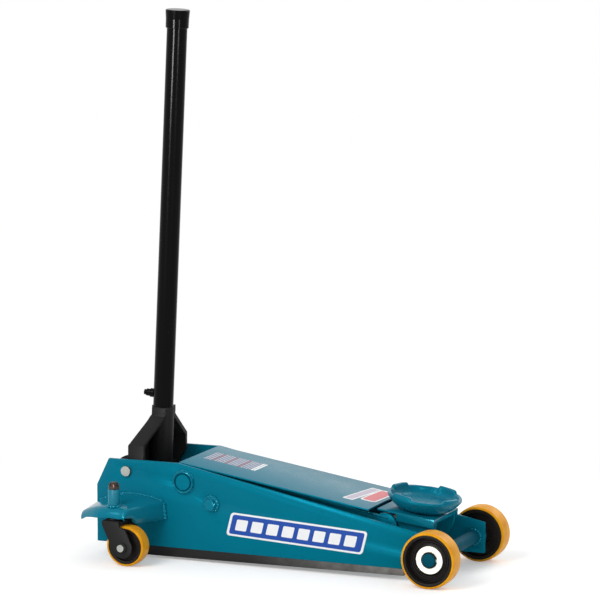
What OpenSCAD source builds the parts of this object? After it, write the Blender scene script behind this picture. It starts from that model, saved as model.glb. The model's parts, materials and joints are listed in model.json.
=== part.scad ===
// Low trolley jack: +X is the lifting end, +Z up, origin on the floor under the middle of the chassis.
// Left pieces lie on the +Y side. Everything is drawn with the arm down and the handle upright.

/* [Chassis] */
// Length from the rear edge of the side plates to the front of the wheels
overall_length = 705; // [695:5:715]
// Width over the two side plates
chassis_width = 183; // [183:0.5:186]
// Thickness of a side plate
plate_t = 6; // [5:0.5:6.5]
// Height of the side plates' lower edge
plate_bottom = 21.5; // [20.5:0.5:22.5]
// Height of the side plates at their highest point
plate_top = 175; // [174:0.5:176]
// Height of the side plates at the front end
plate_nose = 77; // [76:0.5:79]
// Width of the skid rail under each plate, and its depth at the front
rail = 12.5; // [11:0.5:13]
// Depth of the skid rail at its rear end
rail_rear = 17.5; // [14:0.5:18]

/* [Front wheels] */
// Diameter over the front tread
wheel_d = 100; // [98:1:102]
// Width of a front wheel
wheel_w = 35; // [33:0.5:36]
// Thickness of the amber treads, front and rear
tread_t = 4.5; // [3.5:0.5:5.5]
// Diameter of the front axle bar
axle_d = 24; // [22:0.5:25]
// Diameter of the retaining washer on the axle
washer_d = 49; // [46:1:52]

/* [Rear casters] */
// Diameter over the caster tread
caster_d = 73; // [70:0.5:74]
// Width of a caster wheel
caster_w = 27; // [25:0.5:29]
// Distance from the kingpin to the caster axle
trail = 27; // [25:0.5:28]
// Distance of a kingpin from the middle of the jack
kingpin_y = 167; // [165:0.5:169]
// Diameter of a kingpin
kingpin_d = 12; // [11:0.5:13]

/* [Lift arm] */
// Height of the main shaft
main_z = 142; // [141:0.5:143]
// Diameter of the main shaft
shaft_d = 34; // [32:0.5:34]
// Width over the arm's side plates
arm_width = 116; // [114:0.5:116]
// Thickness of an arm side plate
arm_t = 8; // [7:0.5:8]
// Radius of the arm's rounded front end
arm_nose_r = 22.5; // [21:0.5:23]
// Width of the cover plate on the arm
cover_width = 169; // [166:0.5:169]
// Thickness of the cover plate
cover_t = 3; // [2.5:0.5:4]
// Length of the lever that the ram turns
lever = 72; // [71:0.5:73]
// Swing of that lever to each side of upright, in degrees
lever_half = 26; // [25:0.5:26]

/* [Saddle] */
// Diameter over the saddle rim
saddle_d = 132; // [128:1:134]
// Height of the saddle without its lugs
saddle_h = 27; // [25:0.5:29]
// Height of the lugs above the rim
lug_h = 5; // [3:0.5:6]
// Forward lean of the saddle and its holder, in degrees
saddle_lean = 7; // [6:0.5:7.5]

/* [Handle] */
// Diameter of the handle tube
handle_d = 36.5; // [35:0.5:37]
// Wall of the handle tube
handle_wall = 2.5; // [2:0.5:3]
// Height of the top of the handle
handle_top = 973; // [900:1:1050]
// Forward lean of the upright handle, in degrees
handle_lean = 2.6; // [2:0.1:3]
// Height of the yoke's pivot
yoke_z = 153.5; // [153:0.5:154]

/* [Power unit] */
// Diameter of the oil tank
tank_d = 56; // [52:1:57]
// Diameter of the ram
ram_d = 30; // [26:1:32]
// Height of the ram's centre line
ram_z = 74; // [73:0.5:75]
// Diameter of the pump plunger
plunger_d = 14; // [12:0.5:15]

/* [Hidden] */
$fn = 64;
// Clearances: running fit on a radius, gap between moving faces, slack of the lever slot
fit = 0.05;
gap = 0.5;
slack = 0.9;

rear_x = -overall_length / 2;
hub_d = wheel_d - 2 * tread_t;
axle_x = overall_length / 2 - wheel_d / 2;
axle_z = wheel_d / 2;
nose_x = axle_x + 20;
plate_out = chassis_width / 2;
plate_in = plate_out - plate_t;
tie_d = 26;

main_x = rear_x + 171;
yoke_x = rear_x + 58.5;
// The levelling rods repeat the arm's line, moved by this step
step_x = 54;
step_z = -35.5;
anchor_x = main_x + step_x;
anchor_z = main_z + step_z;
front_x = axle_x - 112.5;
front_z = 88;
rod_x = front_x + step_x;
rod_z = front_z + step_z;

arm_out = arm_width / 2;
arm_in = arm_out - arm_t;
cheek_out = arm_in - 2;
cover_back = main_x - 12;
cover_front = front_x - 19.5;
cover_slope = 0.152;
saddle_x = front_x + 50;
cap_z = 110;
cheek_t = 8;
rod_mid = arm_out + 8;
rod_d = 12;
// The main shaft is turned down outside the side plates
spigot_d = shaft_d - 8;

lever_in = arm_in - 19;
lever_t = 7;
link_in = lever_in + lever_t + 1.5;
link_t = 6;
lever_x = main_x - lever * sin(lever_half);
lever_z = main_z - lever * cos(lever_half);
pin_d = 14;

wheel_in = plate_out + 11.5;
caster_x = rear_x + 70.5;
caster_z = caster_d / 2;
fork_in = caster_w / 2 + 8.5;
fork_t = 4;
crown_z = 78;
sleeve_bottom = 98;
sleeve_top = 135.5;

// Pump block and tank
block_back = rear_x + 96.5;
block_front = block_back + 48;
block_half = 29;
block_z = 42;
block_top = 140;
cradle_t = 6;
tank_front = block_front + 122;
plug_x = tank_front - 34;
plug_d = 15;
plug_seat = ram_z + tank_d / 2 - 1.5;
ram_back = main_x - 1.5;
cross_back = main_x + 119.5;
cross_front = cross_back + 22;
spring_z = 38;

// Pump plunger and the roller that pushes it
plunger_y = 19;
plunger_z = 130;
roller_r = 10;
roller_arm = 26;
roller_swing = 35;
roller_x = yoke_x - roller_arm * sin(roller_swing);
roller_z = yoke_z - roller_arm * cos(roller_swing);

// Handle line: it passes this far ahead of the yoke's pivot
stem_ahead = 25.3;
stem_x = yoke_x + stem_ahead - 1.8;
spindle_d = 10;
stub_d = handle_d - 2 * handle_wall - 2 * fit;
screw_z = 126.5;
fork_foot = 12;
leg_out = 80;
leg_t = 7;
leg_in = leg_out - leg_t;
yoke_pin_d = 18;
collar_top = 105;
collar_d = handle_d + 4;
socket_foot = 6;
tube_end = collar_top + gap;
cap_top = (handle_top - yoke_z) / cos(handle_lean);

// Front washers stand inside the hub's recess
washer_t = 3;
washer_y = wheel_in + wheel_w - 13;

// Wing brackets of the casters
arch_top = 106;
bracket_front = caster_x + 65;
bracket_y = 186.5;
bracket_fall = 5.5;

teal = "#0b7b91";
black = "#1a1a1a";
steel = "#a9a9a6";
amber = "#f5a61d";

// ---- shared shapes ----

// Bar along Y between two places
module ybar(x, z, d, y0, y1) {
    translate([x, y1, z]) rotate([90, 0, 0]) cylinder(d = d, h = y1 - y0);
}

// Bar along X between two places
module xbar(y, z, d, x0, x1) {
    translate([x0, y, z]) rotate([0, 90, 0]) cylinder(d = d, h = x1 - x0);
}

// Plate standing in the XZ plane, from an outline in x and z
module yplate(points, y0, t) {
    translate([0, y0 + t, 0]) rotate([90, 0, 0]) linear_extrude(t) polygon(points);
}

// Draws its children on the left, or mirrored to the right
module side(name) {
    if (name == "left") children();
    else mirror([0, 1, 0]) children();
}

module both() {
    side("left") children();
    side("right") children();
}

// Turns its children about the line along Y through x, z; a positive angle dips the front
module about(x, z, angle) {
    translate([x, 0, z]) rotate([0, angle, 0]) translate([-x, 0, -z]) children();
}

// Places its children on the handle's line, with z counted up from the yoke's pivot height
module along_handle() {
    translate([yoke_x + stem_ahead, 0, yoke_z]) rotate([0, handle_lean, 0]) children();
}

// Ring lying along Y
module yring(x, z, d, bore, y0, y1) {
    difference() {
        ybar(x, z, d, y0, y1);
        ybar(x, z, bore, y0 - 1, y1 + 1);
    }
}

// Hexagonal head lying along Y
module yhex(x, z, across, y0, y1) {
    translate([x, y1, z]) rotate([90, 0, 0]) cylinder(d = across / cos(30), h = y1 - y0, $fn = 6);
}

// ---- chassis ----

module side_plate(name) {
    outline = [[rear_x, plate_bottom], [nose_x, plate_bottom], [nose_x, plate_nose],
        [main_x - 10.5, plate_top], [rear_x + 23.5, plate_top - 1.3], [rear_x, 125]];
    color(teal) side(name) difference() {
        yplate(outline, plate_in, plate_t);
        ybar(main_x, main_z, shaft_d + 2 * fit, plate_in - 1, plate_out + 1);
        ybar(anchor_x, anchor_z, pin_d + 2 * fit, plate_in - 1, plate_out + 1);
        ybar(yoke_x, yoke_z, yoke_pin_d + 2 * fit, plate_in - 1, plate_out + 1);
        ybar(axle_x, axle_z, axle_d + 2 * fit, plate_in - 1, plate_out + 1);
    }
}

// Tubes that hold the side plates apart, one low at the rear and one under the arm
module cross_ties() {
    color(teal) {
        yring(rear_x + 16, plate_bottom + 22.5, tie_d, tie_d - 8, -plate_in, plate_in);
        yring(front_x - 70, plate_bottom + 14.5, tie_d - 4, tie_d - 11, -plate_in, plate_in);
    }
}

module skid_rails() {
    rail_back = rear_x + 90.5;
    rail_front = axle_x - 62.5;
    color(black) both() yplate([[rail_back, plate_bottom], [rail_front, plate_bottom],
        [rail_front, plate_bottom - rail], [rail_back, plate_bottom - rail_rear]],
        plate_out - rail, rail);
}

// Shelf between the side plates that carries the power unit
module unit_cradle() {
    color(teal) translate([block_back + 2, -plate_in, block_z - cradle_t])
        cube([block_front - block_back - 2, 2 * plate_in, cradle_t]);
}

// Bar through both wheels, with a collar between each plate and its wheel
module front_axle() {
    half = washer_y + washer_t + 4.5;
    color(teal) {
        ybar(axle_x, axle_z, axle_d, -half, half);
        both() yring(axle_x, axle_z, 36, axle_d + 2 * fit, plate_out, wheel_in - gap);
    }
}

module wheel_washers() {
    color("#dad9ce") both()
        yring(axle_x, axle_z, washer_d, axle_d + 2 * fit, washer_y, washer_y + washer_t);
}

// Split clip outside each washer: most of a ring, open towards the front
module axle_clips() {
    color(black) both() difference() {
        yring(axle_x, axle_z, axle_d + 5, axle_d + 2 * fit, washer_y + washer_t,
            washer_y + washer_t + 2);
        translate([axle_x + 6, washer_y, axle_z - 3]) cube([12, 12, 6]);
    }
}

module main_shaft() {
    color(teal) {
        ybar(main_x, main_z, shaft_d, -plate_out, plate_out);
        ybar(main_x, main_z, spigot_d, -plate_out - 1.5, plate_out + 1.5);
    }
}

// Rings welded round the shaft's ends
module shaft_rings() {
    color(teal) both()
        yring(main_x, main_z, shaft_d + 4, spigot_d + 2 * fit, plate_out, plate_out + 5);
}

// Bolts that the levelling rods turn on: shank, washer, hexagon head, inner clip and spacer
module anchor_bolts() {
    color(teal) both() {
        ybar(anchor_x, anchor_z, pin_d, rod_mid - 5.5, plate_out + 3);
        yring(anchor_x, anchor_z, 27, pin_d + 2 * fit, plate_out, plate_out + 2.5);
        yhex(anchor_x, anchor_z, 19, plate_out + 2.5, plate_out + 9);
        yring(anchor_x, anchor_z, 22, pin_d + 2 * fit, rod_mid + 4 + gap, plate_in);
        ybar(anchor_x, anchor_z, 18, rod_mid - 6, rod_mid - 4 - gap);
    }
}

// Stub pins of the handle yoke, each with an outer spacer and an inner clip
module yoke_pins() {
    color(steel) both() {
        ybar(yoke_x, yoke_z, yoke_pin_d, leg_in - 2.5, plate_out + 4.5);
        yring(yoke_x, yoke_z, 28, yoke_pin_d + 2 * fit, leg_out + gap, plate_in);
        ybar(yoke_x, yoke_z, 24, leg_in - 2.5, leg_in - gap);
    }
}

// ---- caster brackets ----

// Height of the bracket's arched top along x, highest over the kingpin
function arch(x) = x < caster_x ? arch_top - 20 * pow((x - caster_x) / 70, 2)
    : arch_top - 10 * pow((x - caster_x) / 62, 2);

module bracket_plan(inset, z0, z1) {
    translate([0, 0, z0]) linear_extrude(z1 - z0) polygon([
        [rear_x + inset * 0.2, plate_out - 5], [rear_x + inset * 0.2, bracket_y - 34.5],
        [caster_x - 24, bracket_y - inset], [caster_x + 35 - inset * 0.6, bracket_y - inset],
        [bracket_front - inset, plate_out - 5]]);
}

// Pressed wing that carries one kingpin: arched top, and a rim turned down outside and in front
module caster_bracket(name) {
    t = 4;
    steps = [for (i = [0:14]) rear_x + i * (bracket_front + 1 - rear_x) / 14];
    top_band = concat([for (x = steps) [x, arch(x)]],
        [for (i = [14:-1:0]) [steps[i], arch(steps[i]) - t]]);
    // Foot of the rim: it drops in front, outside the circle that the swivelling fork sweeps
    rim_band = concat([for (x = steps) if (x > rear_x + 22.5) [x, arch(x)]],
        [[bracket_front + 1, 70], [caster_x + 40, 75.5], [caster_x + 35, 85],
        [caster_x + 30, 89], [caster_x - 18, 89], [rear_x + 27.5, 91]]);
    color(teal) side(name) difference() {
        translate([0, kingpin_y, arch_top]) rotate([-bracket_fall, 0, 0])
        translate([0, -kingpin_y, -arch_top]) union() {
            intersection() {
                yplate(top_band, plate_out - 5, bracket_y);
                bracket_plan(0, 60, 130);
            }
            intersection() {
                yplate(rim_band, plate_out - 5, bracket_y);
                difference() {
                    bracket_plan(0, 60, 130);
                    bracket_plan(t, 50, 140);
                }
            }
        }
        translate([rear_x - 10, plate_out - 20, 40]) cube([plate_top, 20, plate_top]);
        translate([caster_x, kingpin_y, 80]) cylinder(d = 21 + 2 * fit, h = 60);
    }
}

module kingpin_sleeves() {
    color(teal) both() translate([caster_x, kingpin_y, sleeve_bottom]) difference() {
        cylinder(d = 21, h = sleeve_top - sleeve_bottom);
        translate([0, 0, -1]) cylinder(d = kingpin_d + 2 * fit, h = 60);
    }
}

// ---- power unit, fixed part ----

// Pump body with the plunger bore, and a nose that holds the release spindle
module pump_block() {
    color("#3b3d3e") difference() {
        union() {
            translate([block_back, -block_half, block_z])
                cube([block_front - block_back, 2 * block_half, block_top - block_z]);
            // Nose that carries the release valve's seat
            translate([stem_x - 3, -8, block_top - 52]) cube([block_back - stem_x + 4, 16, 24]);
            along_handle() translate([0, 0, -63]) cylinder(d = 16, h = 24);
        }
        xbar(plunger_y, plunger_z, plunger_d + 2 * fit, block_back - 1, block_front - 4);
        along_handle() translate([0, 0, -58]) cylinder(d = spindle_d + 2 * fit, h = 60);
    }
}

// Oil tank round the cylinder, bored for the ram and closed at the pump end
module oil_tank() {
    color(black) difference() {
        union() {
            xbar(0, ram_z, tank_d, block_front, tank_front - 8);
            xbar(0, ram_z, tank_d - 6, tank_front - 8, tank_front);
        }
        xbar(0, ram_z, ram_d + 2 * fit, ram_back - 4, tank_front + 1);
        translate([plug_x, 0, plug_seat]) cylinder(d = plug_d + 2, h = 10);
    }
}

// Filler plug on the tank and the overload valve's plug beside the block
module unit_plugs() {
    color("#c8b070") {
        translate([plug_x, 0, plug_seat]) cylinder(d = plug_d, h = 5.5);
        translate([block_back + 24, -18, block_top]) cylinder(d = 17, h = 4, $fn = 6);
    }
}

// ---- front wheels ----

// Spoked-looking hub is one turned casting: rim, ribbed web and a long boss on the axle
module front_hub(name) {
    r = hub_d / 2;
    web = washer_y - wheel_in - gap;
    color(black) side(name) translate([axle_x, wheel_in, axle_z]) rotate([-90, 0, 0])
    difference() {
        cylinder(d = hub_d, h = wheel_w);
        translate([0, 0, web]) cylinder(r = r - 5, h = wheel_w);
        translate([0, 0, -1]) cylinder(d = axle_d + 2 * fit, h = wheel_w + 2);
        // Hollow behind the web, round the boss
        translate([0, 0, -1]) difference() {
            cylinder(r = r - 7, h = 9);
            cylinder(r = 21, h = 9);
        }
        // Grooves between the web's ribs
        for (i = [0:2]) translate([0, 0, web - 1.5]) difference() {
            cylinder(r = 38 - i * 4, h = 3);
            translate([0, 0, -1]) cylinder(r = 36 - i * 4, h = 5);
        }
    }
}

// Tread bonded on the hub: flat face with rounded shoulders
module tread(d, core, w) {
    round_r = 2.5;
    rotate([-90, 0, 0]) rotate_extrude() difference() {
        translate([core / 2, 0]) square([(d - core) / 2, w]);
        for (y = [0, 1]) translate([d / 2 - round_r, y ? w - round_r : 0]) difference() {
            square([round_r + 1, round_r]);
            translate([0, y ? 0 : round_r]) circle(round_r);
        }
    }
}

module front_tread(name) {
    color(amber) side(name) translate([axle_x, wheel_in, axle_z])
        tread(wheel_d, hub_d, wheel_w);
}

// ---- casters ----

// Bent fork: crown plate under the kingpin and two trailing cheeks
module caster_fork(name) {
    axle_at = caster_x + trail;
    cheek = [[caster_x - 12, crown_z + fork_t], [caster_x - 12, crown_z - 2],
        [axle_at - 18, caster_z - 6], [axle_at + 17, caster_z + 8], [caster_x + 33, crown_z - 9.5],
        [caster_x + 23, crown_z - 5.5], [caster_x + 20, crown_z + fork_t]];
    color(black) side(name) difference() {
        union() {
            for (y = [kingpin_y + fork_in, kingpin_y - fork_in - fork_t]) {
                yplate(cheek, y, fork_t);
                ybar(axle_at, caster_z, 38, y, y + fork_t);
            }
            translate([caster_x - 12, kingpin_y - fork_in - 1, crown_z])
                cube([32, 2 * fork_in + 2, fork_t]);
            translate([caster_x, kingpin_y, crown_z + fork_t]) cylinder(d = 28, h = 3);
            ybar(axle_at, caster_z, 19, kingpin_y + fork_in, kingpin_y + fork_in + fork_t + 3.5);
        }
        translate([caster_x, kingpin_y, crown_z - 1]) cylinder(d = kingpin_d + 2 * fit, h = 20);
        ybar(axle_at, caster_z, 10 + 2 * fit, kingpin_y - 40, kingpin_y + 40);
    }
}

// Kingpin with its thrust washer, castle nut and split pin
module kingpin(name) {
    nut_z = sleeve_top + gap;
    color(black) side(name) translate([caster_x, kingpin_y, 0]) {
        difference() {
            union() {
                translate([0, 0, crown_z - 2]) cylinder(d = kingpin_d, h = 150 - crown_z);
                translate([0, 0, crown_z - 2.5]) cylinder(d = 22, h = 2.5);
            }
            translate([-12, 0, nut_z + 8]) rotate([0, 90, 0]) cylinder(d = 2.4, h = 24);
        }
        translate([0, 0, crown_z + fork_t + 3]) difference() {
            cylinder(d = 24, h = sleeve_bottom - gap - crown_z - fork_t - 3);
            translate([0, 0, -1]) cylinder(d = kingpin_d + 2 * fit, h = 20);
        }
        translate([0, 0, nut_z]) difference() {
            union() {
                cylinder(d = 19 / cos(30), h = 6, $fn = 6);
                cylinder(d = 16, h = 10.5);
            }
            translate([0, 0, -1]) cylinder(d = kingpin_d + 2 * fit, h = 20);
            for (a = [0, 60, 120]) rotate(a) translate([-10, -1.6, 6.5]) cube([20, 3.2, 5]);
        }
        translate([-11, 0, nut_z + 8]) rotate([0, 90, 0]) cylinder(d = 2.2, h = 22);
    }
}

module caster_hub(name) {
    boss = fork_in - caster_w / 2 - gap;
    color(black) side(name)
    translate([caster_x + trail, kingpin_y - caster_w / 2, caster_z]) rotate([-90, 0, 0])
    difference() {
        union() {
            cylinder(d = caster_d - 2 * tread_t, h = caster_w);
            // Bosses that reach the fork's cheeks
            translate([0, 0, -boss]) cylinder(d = 24, h = caster_w + 2 * boss);
        }
        for (z = [-1, caster_w - 6]) translate([0, 0, z]) difference() {
            cylinder(r = caster_d / 2 - 2 * tread_t, h = 7);
            translate([0, 0, -1]) cylinder(r = 12, h = 9);
        }
        translate([0, 0, -boss - 1]) cylinder(d = 12 + 2 * fit, h = caster_w + 2 * boss + 2);
    }
}

module caster_tread(name) {
    color(amber) side(name)
    translate([caster_x + trail, kingpin_y - caster_w / 2, caster_z])
        tread(caster_d, caster_d - 2 * tread_t, caster_w);
}

// Caster axle: sleeve inside the hub, bolt through the fork, head and nut outside
module caster_bolt(name) {
    axle_at = caster_x + trail;
    out = fork_in + fork_t;
    color(steel) side(name) translate([0, kingpin_y, 0]) {
        ybar(axle_at, caster_z, 10, -out - 6, out + 4);
        yring(axle_at, caster_z, 12, 10 + 2 * fit, -fork_in, fork_in);
        ybar(axle_at, caster_z, 13, out + 3.5, out + 6.5);
        yhex(axle_at, caster_z, 14, -out - 5, -out);
    }
}

// ---- handle ----

// One leg of the yoke, as a band bent outwards, cut to its side outline; heights are from the pivot.
// The left leg is the wider one and carries the roller's lobe
module yoke_leg(toe, lobe) {
    top = collar_top + 1;
    neck = collar_d / 2 + 2;
    bend = 44.5;
    foot = -43.5;
    band = [[neck, top], [neck, top - 17], [leg_out, bend], [leg_out, foot], [leg_in, foot],
        [leg_in, bend - 3.4], [neck - leg_t, top - 20.4], [neck - leg_t, top]];
    front = [[18, top - 1.5], [44, top - 1.5], [44, top - 12], [toe, bend], [toe, 14.5],
        [22, -13.5], [-12, -13.5], [-2, 22.5], [-2, bend - 2], [18, top - 12]];
    translate([yoke_x, 0, yoke_z]) intersection() {
        translate([-leg_out, 0, 0]) rotate([90, 0, 90])
            linear_extrude(2 * leg_out) polygon(band);
        union() {
            yplate(front, 0, leg_out + 1);
            ybar(0, 0, 52, 0, leg_out + 1);
            if (lobe) ybar(roller_x - yoke_x, roller_z - yoke_z, 24, 0, leg_out + 1);
        }
    }
}

// Web that closes the yoke behind, from the collar down to the pivot
module yoke_web() {
    high = 89.5;
    bend = 42;
    low = -7.5;
    back = [[13, high], [18, high], [7, bend], [7, low], [1, low], [1, bend]];
    web = [[16, high], [leg_in + 1, bend], [leg_in + 1, low], [-leg_in - 1, low],
        [-leg_in - 1, bend], [-16, high]];
    translate([yoke_x, 0, yoke_z]) intersection() {
        yplate(back, -leg_out, 2 * leg_out);
        translate([-leg_out, 0, 0]) rotate([90, 0, 90])
            linear_extrude(2 * leg_out) polygon(web);
    }
}

// Handle socket: a tube with a collar bore on top, two bent legs round the pump and a web behind
module yoke() {
    color("#2f2d2d") difference() {
        union() {
            side("left") yoke_leg(40, true);
            side("right") yoke_leg(28.5, false);
            along_handle() translate([0, 0, socket_foot])
                cylinder(d = collar_d, h = collar_top - socket_foot);
            yoke_web();
        }
        along_handle() translate([0, 0, collar_top - 60])
            cylinder(d = stub_d + 2 * fit, h = 90);
        // Counterbore under the collar, for the stub's flange and its forked foot
        along_handle() translate([0, 0, socket_foot - 10])
            cylinder(d = stub_d + 5 + 2 * gap, h = collar_top - 20 - socket_foot);
        both() {
            ybar(yoke_x, yoke_z, yoke_pin_d + 2 * fit, leg_in - 1, leg_out + 1);
            ybar(yoke_x, yoke_z, 24 + 2 * gap, leg_in - 3.5, leg_in);
        }
        ybar(roller_x, roller_z, 10 + 2 * fit, leg_in - 4, leg_out + 1);
    }
}

module roller_pin() {
    color(steel) ybar(roller_x, roller_z, 10, plunger_y - 10, leg_out);
}

module pump_roller() {
    color(steel) yring(roller_x, roller_z, 2 * roller_r, 10 + 2 * fit, plunger_y - 9,
        plunger_y + 9);
}

// Stub inside the handle: it turns in the yoke's collar and its forked foot turns the valve
module handle_stub() {
    color(black) along_handle() difference() {
        union() {
            translate([0, 0, collar_top - 32]) cylinder(d = stub_d, h = 94);
            translate([0, 0, collar_top - 34]) cylinder(d = stub_d + 5, h = 3.5);
            translate([0, 0, fork_foot]) cylinder(d = 16, h = collar_top - 33 - fork_foot);
            translate([0, 0, fork_foot]) cylinder(d = 22, h = 18);
        }
        translate([-15, -3.2, fork_foot - 1]) cube([30, 6.4, 12]);
        translate([-30, 0, screw_z]) rotate([0, 90, 0]) cylinder(d = 8 + 2 * fit, h = 30);
    }
}

module handle_tube() {
    color(black) along_handle() difference() {
        translate([0, 0, tube_end]) cylinder(d = handle_d, h = cap_top - 6 - tube_end);
        translate([0, 0, tube_end - 1]) cylinder(d = handle_d - 2 * handle_wall, h = cap_top);
        translate([-30, 0, screw_z]) rotate([0, 90, 0]) cylinder(d = 8 + 2 * fit, h = 30);
    }
}

// Domed grip cap over the top of the tube
module handle_cap() {
    h = 33;
    top_r = handle_d / 2 + 3.5;
    low_r = handle_d / 2 + 2.3;
    round_r = 2.5;
    dome = [for (i = [0:6]) let (a = i * 15)
        [top_r - round_r + round_r * cos(a), h - round_r + round_r * sin(a)]];
    color(black) along_handle() translate([0, 0, cap_top - h]) difference() {
        rotate_extrude() polygon(concat([[0, 0], [low_r - 1, 0], [low_r, 1],
            [low_r + 0.2, h / 2]], dome, [[0, h]]));
        translate([0, 0, -1]) cylinder(d = handle_d + 2 * fit, h = h - 5);
    }
}

// Locking screw of the handle: welded boss, shank and knob on the rear side
module set_screw() {
    color(black) along_handle() translate([0, 0, screw_z]) rotate([0, -90, 0]) {
        difference() {
            translate([0, 0, handle_d / 2 - 1]) cylinder(d = 16, h = 8);
            translate([0, 0, -1]) cylinder(d = 8 + 2 * fit, h = 60);
            rotate([0, 90, 0]) translate([0, 0, -20]) cylinder(d = handle_d + 2 * fit, h = 40);
        }
        translate([0, 0, 8]) cylinder(d = 8, h = handle_d / 2);
        translate([0, 0, handle_d / 2 + 7.5]) cylinder(d = 13, h = 7);
        translate([0, 0, handle_d / 2 + 14]) cylinder(d = 10, h = 5);
    }
}

// ---- pump and valve ----

module pump_plunger() {
    face = roller_x + roller_r + 0.4;
    color(steel) {
        xbar(plunger_y, plunger_z, plunger_d, face + 1, block_back + 10);
        xbar(plunger_y, plunger_z, 20, face, face + 4);
    }
}

// Envelope of the plunger's return spring
module plunger_spring() {
    color(steel) difference() {
        xbar(plunger_y, plunger_z, 19, roller_x + roller_r + 4.4 + gap, block_back - gap);
        xbar(plunger_y, plunger_z, 15.4, roller_x, block_back + 1);
    }
}

// Release valve spindle with a blade that the handle's forked foot holds
module release_spindle() {
    color("#3b3d3e") along_handle() {
        translate([0, 0, -57.5]) cylinder(d = spindle_d, h = fork_foot + 55);
        translate([-7, -2.5, fork_foot - 3]) cube([14, 5, 11]);
    }
}

module ram() {
    color(steel) xbar(0, ram_z, ram_d, ram_back, cross_back);
}

// Block on the ram's nose, with an eye plate under it for the return springs
module crosshead() {
    color("#3b3d3e") {
        translate([cross_back, -link_in, ram_z - 16])
            cube([cross_front - cross_back, 2 * link_in, 32]);
        difference() {
            translate([cross_back + 8, -26, spring_z - 8]) cube([5, 52, ram_z - spring_z - 7]);
            both() xbar(16, spring_z, 6, cross_back, cross_front);
        }
    }
}

// Links from the crosshead back to the lever's pins, which ride in upright slots
module ram_links() {
    bottom = main_z - lever;
    reach = pin_d / 2 + slack;
    color(teal) both() difference() {
        translate([lever_x - 20, link_in, ram_z - 19]) cube([cross_front - lever_x + 20, link_t, 38]);
        translate([lever_x - reach, link_in - 1, bottom - reach])
            cube([2 * reach, link_t + 2, lever_z - bottom + 2 * reach]);
    }
}

// Envelopes of the two springs that draw the crosshead back
module return_springs() {
    color(steel) both() xbar(16, spring_z, 13, block_front, cross_back + 8 - gap);
}

// ---- lift arm ----

function cover_z(x) = 176.1 - cover_slope * (x - cover_back);

module arm_plate(name) {
    under = cover_t / cos(atan(cover_slope));
    back = cover_back + 0.5;
    bend = front_x - 95;
    outline = [[back, cover_z(back) - under], [bend, cover_z(bend) - under],
        [front_x - 46, front_z + 24], [front_x + 9, front_z + 14],
        [front_x, front_z - arm_nose_r], [front_x - 100, front_z - 16],
        [main_x + 121.5, front_z + 6], [main_x + 0.5, main_z - 28.8]];
    color(teal) side(name) difference() {
        union() {
            yplate(outline, arm_in, arm_t);
            ybar(main_x, main_z, 57.6, arm_in, arm_out);
            ybar(front_x, front_z, 2 * arm_nose_r, arm_in, arm_out);
        }
        ybar(main_x, main_z, shaft_d + 2 * fit, arm_in - 1, arm_out + 1);
        ybar(front_x, front_z, 18 + 2 * fit, arm_in - 1, arm_out + 1);
    }
}

// Plate welded between the arm plates under the cover
module arm_web() {
    drop = 8;
    back = main_x + 41.5;
    front = front_x - 90;
    color(teal) yplate([[back, cover_z(back) - drop], [front, cover_z(front) - drop],
        [front, cover_z(front) - drop - 6], [back, cover_z(back) - drop - 6]],
        -arm_in, 2 * arm_in);
}

// Tube round the main shaft between the arm plates
module arm_hub() {
    color(teal) yring(main_x, main_z, 44, shaft_d + 2 * fit, -arm_in, arm_in);
}

module arm_cover() {
    under = cover_t / cos(atan(cover_slope));
    color("#6f97a5") yplate([[cover_back, cover_z(cover_back)], [cover_front, cover_z(cover_front)],
        [cover_front, cover_z(cover_front) - under], [cover_back, cover_z(cover_back) - under]],
        -cover_width / 2, cover_width);
}

module lever_plates() {
    outline = [[main_x - 27, main_z - 8], [main_x + 27, main_z - 8], [lever_x + 14, lever_z - 5],
        [lever_x - 14, lever_z + 3]];
    color(teal) both() difference() {
        union() {
            yplate(outline, lever_in, lever_t);
            ybar(main_x, main_z, 56, lever_in, lever_in + lever_t);
            ybar(lever_x, lever_z, 29, lever_in, lever_in + lever_t);
        }
        ybar(main_x, main_z, 44 + 2 * fit, lever_in - 1, lever_in + lever_t + 1);
        ybar(lever_x, lever_z, pin_d + 2 * fit, lever_in - 1, lever_in + lever_t + 1);
    }
}

module lever_pins() {
    color(steel) both() ybar(lever_x, lever_z, pin_d, lever_in, link_in + link_t + 2);
}

// ---- saddle and levelling rods ----

// Carrier under the saddle: thick cap with turned-down sides, on two cheeks that hold both pins
module saddle_holder() {
    cap_x = saddle_x - 26.5;
    cap_len = 70;
    lip = 37;
    cheek = [[front_x - 8, 102], [front_x + 96, 100.5], [front_x + 94, 86], [rod_x + 13, 43],
        [rod_x - 8, 39], [front_x - 14, 80]];
    color(teal) difference() {
        union() {
            about(saddle_x, cap_z, saddle_lean) {
                translate([cap_x, -arm_out, cap_z - 8]) cube([cap_len, 2 * arm_out, 8]);
                // Thin lip that reaches back over the arm's nose
                translate([cap_x - lip, -arm_out, cap_z - 3]) cube([lip + 1, 2 * arm_out, 3]);
                both() translate([cap_x, arm_out - 6, cap_z - 15]) cube([cap_len, 6, 15]);
            }
            both() {
                intersection() {
                    yplate(cheek, cheek_out - cheek_t, cheek_t);
                    about(saddle_x, cap_z, saddle_lean)
                        translate([front_x - 40, 0, 20])
                            cube([cap_x + cap_len - front_x + 40, 60, cap_z - 22]);
                }
                ybar(front_x, front_z, 34, cheek_out - cheek_t, cheek_out);
                ybar(rod_x, rod_z, 32, cheek_out - cheek_t, cheek_out);
            }
        }
        ybar(front_x, front_z, 18 + 2 * fit, -90, 90);
        ybar(rod_x, rod_z, pin_d + 2 * fit, -90, 90);
        about(saddle_x, cap_z, saddle_lean) translate([saddle_x, 0, cap_z - 20])
            cylinder(d = 25 + 2 * fit, h = 30);
    }
}

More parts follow.
